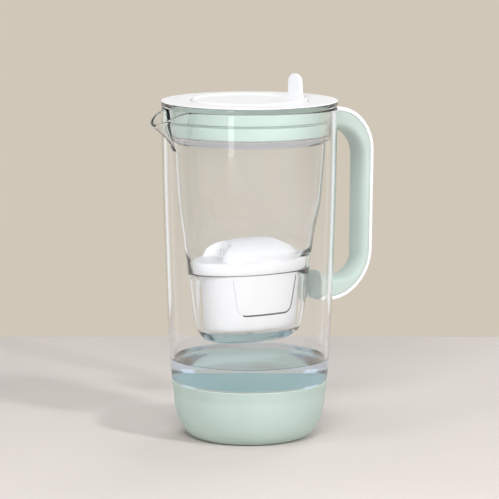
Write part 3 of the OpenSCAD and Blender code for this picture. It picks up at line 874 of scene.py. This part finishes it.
cover = dict(
    disc=[(10, 270.1), (45.9, 270.1), (46.5, 271.0), (46.4, 271.9), (45.7, 272.3), (44.2, 272.3),
          (42.7, 271.4), (41.1, 271.09), (20, 271.09), (6, 271.09)], discSoft=0.5,
    skirt=[(35.8, 268.5), (37.3, 268.5), (37.3, 270.4), (35.8, 270.4)],
    leverX=43.85, leverHalf=1.45, footHalf=10.2, archHalf=9.45, leverPower=3.6,
    foot=[(270.9, 2.0), (271.5, 1.35), (272.3, 0.85), (273.4, 0.45), (275.0, 0.12), (277.0, 0.0)],
    footLean=0.7, straightTo=280.2, archZ=283.4, archHeight=6.6, archTurn=88, archPower=0.8, archEdge=1.7,
    archSteps=21, leverColumns=96,
    hingeX=48.5, hingeZ=268.6, barrel=2.2, halfLength=12.0,
    webLow=(44.6, -12.0, 267.6), webHigh=(48.5, 12.0, 271.0))


def leverShell():
    # an upright thumb tab that flares at its foot, tapers a little and ends in a low round arch
    sections, steps, footZ = [], cover["archSteps"], cover["foot"][0][0]
    for z, flare in smoothThrough(cover["foot"], 3) + [(cover["straightTo"], 0.0)]:
        share = (z - footZ) / (cover["archZ"] - footZ)
        half = cover["footHalf"] + (cover["archHalf"] - cover["footHalf"]) * share
        sections.append((z, cover["leverHalf"] + cover["footLean"] * flare, half + flare))
    for k in range(steps + 1):
        turn = math.radians(cover["archTurn"] * (k / steps)**cover["archPower"])
        below = cover["archHeight"] * (1 - math.sin(turn))
        thin = math.sqrt(1 - max(0.0, 1 - below / cover["archEdge"])**2)
        sections.append((cover["archZ"] + cover["archHeight"] * math.sin(turn), cover["leverHalf"] * thin,
                         cover["archHalf"] * math.cos(turn)))
    shape = (cover["leverPower"], cover["leverColumns"], cover["leverX"])
    return ringSkin([ovalRing(*section, *shape) for section in sections])


flipCover = makePiece("flipCover", [
    lathe(softened(cover["disc"], cover["discSoft"])), lathe(cover["skirt"], closed=True), leverShell(),
    crossRod(cover["hingeX"], cover["hingeZ"], cover["barrel"], cover["halfLength"]),
    boxShell(cover["webLow"], cover["webHigh"])], paint["whitePlastic"], 36)
dress(flipCover, "flip", "white_plastic", "flip_cover")
print("lid done")


# Stage: water in the jug, table, light and camera

studio = dict(
    cameraTurn=-33.0, cameraDistance=2382.0, cameraHeight=508.4, cameraTilt=8.537, lens=217.0,
    tableBack=443.0, tableReach=2200.0,
    wall="D0C7B8", room="B2BDC1", wallEdge=(-0.5, 0.35), side="F6F8FA", stripInner=(0.38, 0.44),
    stripOuter=(0.64, 0.58), ceiling="E6EAEC", ceilingEdge=(0.45, 0.8), ambient="FFFFFF", ambientStrength=0.2,
    lamps=[("keyLamp", (1300, -1250, 1020), (0, 0, 100), (200, 200), 21.0),
           ("frontLamp", (-150, -1500, 1200), (0, 0, 150), (800, 400), 15.5),
           ("topLamp", (0, 100, 1800), (0, 0, 200), (1400, 1400), 8.0),
           ("leftLamp", (-1400, -900, 700), (0, 0, 150), (700, 900), 6.5),
           ("backLamp", (800, 1400, 1000), (0, 0, 150), (900, 700), 8.0),
           ("stripLamp", (-640, -1500, 420), (0, 0, 170), (220, 1100), 2.8)],
    bounces=36)


def turned(x, y, z):
    # from the camera's own directions (right, away, up) to the jug's frame, in metres
    angle = math.radians(studio["cameraTurn"])
    c, s = math.cos(angle), math.sin(angle)
    return Vector(((x * c - y * s) * mm, (x * s + y * c) * mm, z * mm))


filling = dict(
    level=63.6, overlap=0.3, colour="E4F0FC", shade="DFEDFB", shadow="FFFFFF", cloud=8, haze=0.0, ior=1.333,
    edge=[(0.1, 0.8), (0.6, 0.3), (1.6, 0.05), (3, 0)], edgeTop=0.9, floorRings=(6, 22), topRings=(30, 8))


def waterShell():
    # fills the jug's foot and reaches a little into the glass, so that no air shows between them;
    # its edge creeps up the glass, as (distance from the glass, height over the level)
    level, overlap = filling["level"], filling["overlap"]
    hollow = bendPoints(jug["hollowCentre"], jug["hollowReach"] + overlap, jug["hollowDrop"] + overlap, 16)
    sides = [(r - jug["wall"] + overlap, z) for r, z in outerWall if jug["wallFrom"] < z < level]
    edge = valueAt(outerWall, level) - jug["wall"]
    rim = [(edge + overlap, level + filling["edgeTop"])] + [(edge - r, level + z) for r, z in filling["edge"]]
    floor = [(r, hollow[0][1]) for r in filling["floorRings"]]
    return lathe(floor + hollow + sides + rim + [(r, level) for r in filling["topRings"]])


water = makePiece("water", [waterShell()], clearFinish("water", filling), 60)

tableEdges = [(x, y) for y in (-studio["tableReach"], studio["tableBack"])
              for x in (-studio["tableReach"], studio["tableReach"])]
tableMesh = bpy.data.meshes.new("table")
tableMesh.from_pydata([turned(x, y, 0) for x, y in tableEdges], [], [(0, 1, 3, 2)])
table = bpy.data.objects.new("table", tableMesh)
scene.collection.objects.link(table)
tableMesh.materials.append(mouldedFinish("tableTop", dict(
    colour="DAD3CE", shade="D7D0CB", cloud=2.5, wave=9, waveDepth=0.0001, grain=900, grainDepth=0.00001,
    roughness=(0.7, 0.8), sockets={"Specular IOR Level": 0.2})))

world = bpy.data.worlds.new("studio")
scene.world = world
world.use_nodes = True
sky = world.node_tree
sky.nodes.clear()
direction = addNode(sky, "ShaderNodeTexCoord").outputs["Generated"]


def along(axis):
    # how far the view points along an axis, from -1 to 1
    return addNode(sky, "ShaderNodeVectorMath", {0: direction, 1: axis},
                   operation="DOT_PRODUCT").outputs["Value"]


def between(value, edges):
    return addNode(sky, "ShaderNodeMapRange", {"Value": value, "From Min": edges[0], "From Max": edges[1]},
                   interpolation_type="SMOOTHSTEP").outputs["Result"]


# a wall ahead and a room behind, with a white strip behind the jug on either side and a pale ceiling, which
# draw the clear edges as bright lines
ahead = between(along(turned(0, 1000, 0)), studio["wallEdge"])
aside = mathNode(sky, "ABSOLUTE", along(turned(1000, 0, 0)))
bands = mathNode(sky, "MULTIPLY", between(aside, studio["stripInner"]), between(aside, studio["stripOuter"]))
strips = mathNode(sky, "MULTIPLY", bands, ahead)
overhead = between(along(Vector((0, 0, 1))), studio["ceilingEdge"])
seenColour = mixColours(sky, ahead, linear(studio["room"]), linear(studio["wall"]))
seenColour = mixColours(sky, strips, seenColour, linear(studio["side"]))
seenColour = mixColours(sky, overhead, seenColour, linear(studio["ceiling"]))
seen = addNode(sky, "ShaderNodeBackground", {"Color": seenColour})
lit = addNode(sky, "ShaderNodeBackground",
              {"Color": linear(studio["ambient"]), "Strength": studio["ambientStrength"]})
rays = addNode(sky, "ShaderNodeLightPath").outputs
cameraOrGlossy = mathNode(sky, "MAXIMUM", rays["Is Camera Ray"], rays["Is Glossy Ray"])
visible = mathNode(sky, "MAXIMUM", cameraOrGlossy, rays["Is Transmission Ray"])
chosen = addNode(sky, "ShaderNodeMixShader",
                 {0: visible, 1: lit.outputs["Background"], 2: seen.outputs["Background"]})
addNode(sky, "ShaderNodeOutputWorld", {"Surface": chosen.outputs["Shader"]})

for name, place, target, size, power in studio["lamps"]:
    lamp = bpy.data.lights.new(name, "AREA")
    lamp.shape = "RECTANGLE"
    lamp.size, lamp.size_y = metres(*size)
    lamp.energy = power
    holder = bpy.data.objects.new(name, lamp)
    scene.collection.objects.link(holder)
    holder.location = turned(*place)
    holder.visible_transmission = False
    holder.visible_glossy = name == "stripLamp"  # it alone is mirrored, as a bright line down the glass
    holder.rotation_euler = (turned(*target) - turned(*place)).to_track_quat("-Z", "Y").to_euler()

cameraData = bpy.data.cameras.new("camera")
cameraData.lens = studio["lens"]
camera = bpy.data.objects.new("camera", cameraData)
scene.collection.objects.link(camera)
camera.location = turned(0, -studio["cameraDistance"], studio["cameraHeight"])
camera.rotation_euler = (math.radians(90 - studio["cameraTilt"]), 0, math.radians(studio["cameraTurn"]))
scene.camera = camera

scene.view_settings.view_transform = "Standard"
for limit in ("max_bounces", "transmission_bounces", "transparent_max_bounces"):
    setattr(scene.cycles, limit, studio["bounces"])  # a line of sight crosses many clear walls
scene.cycles.caustics_refractive = False             # lightPasses takes their place
scene.cycles.caustics_reflective = False
print("stage done")
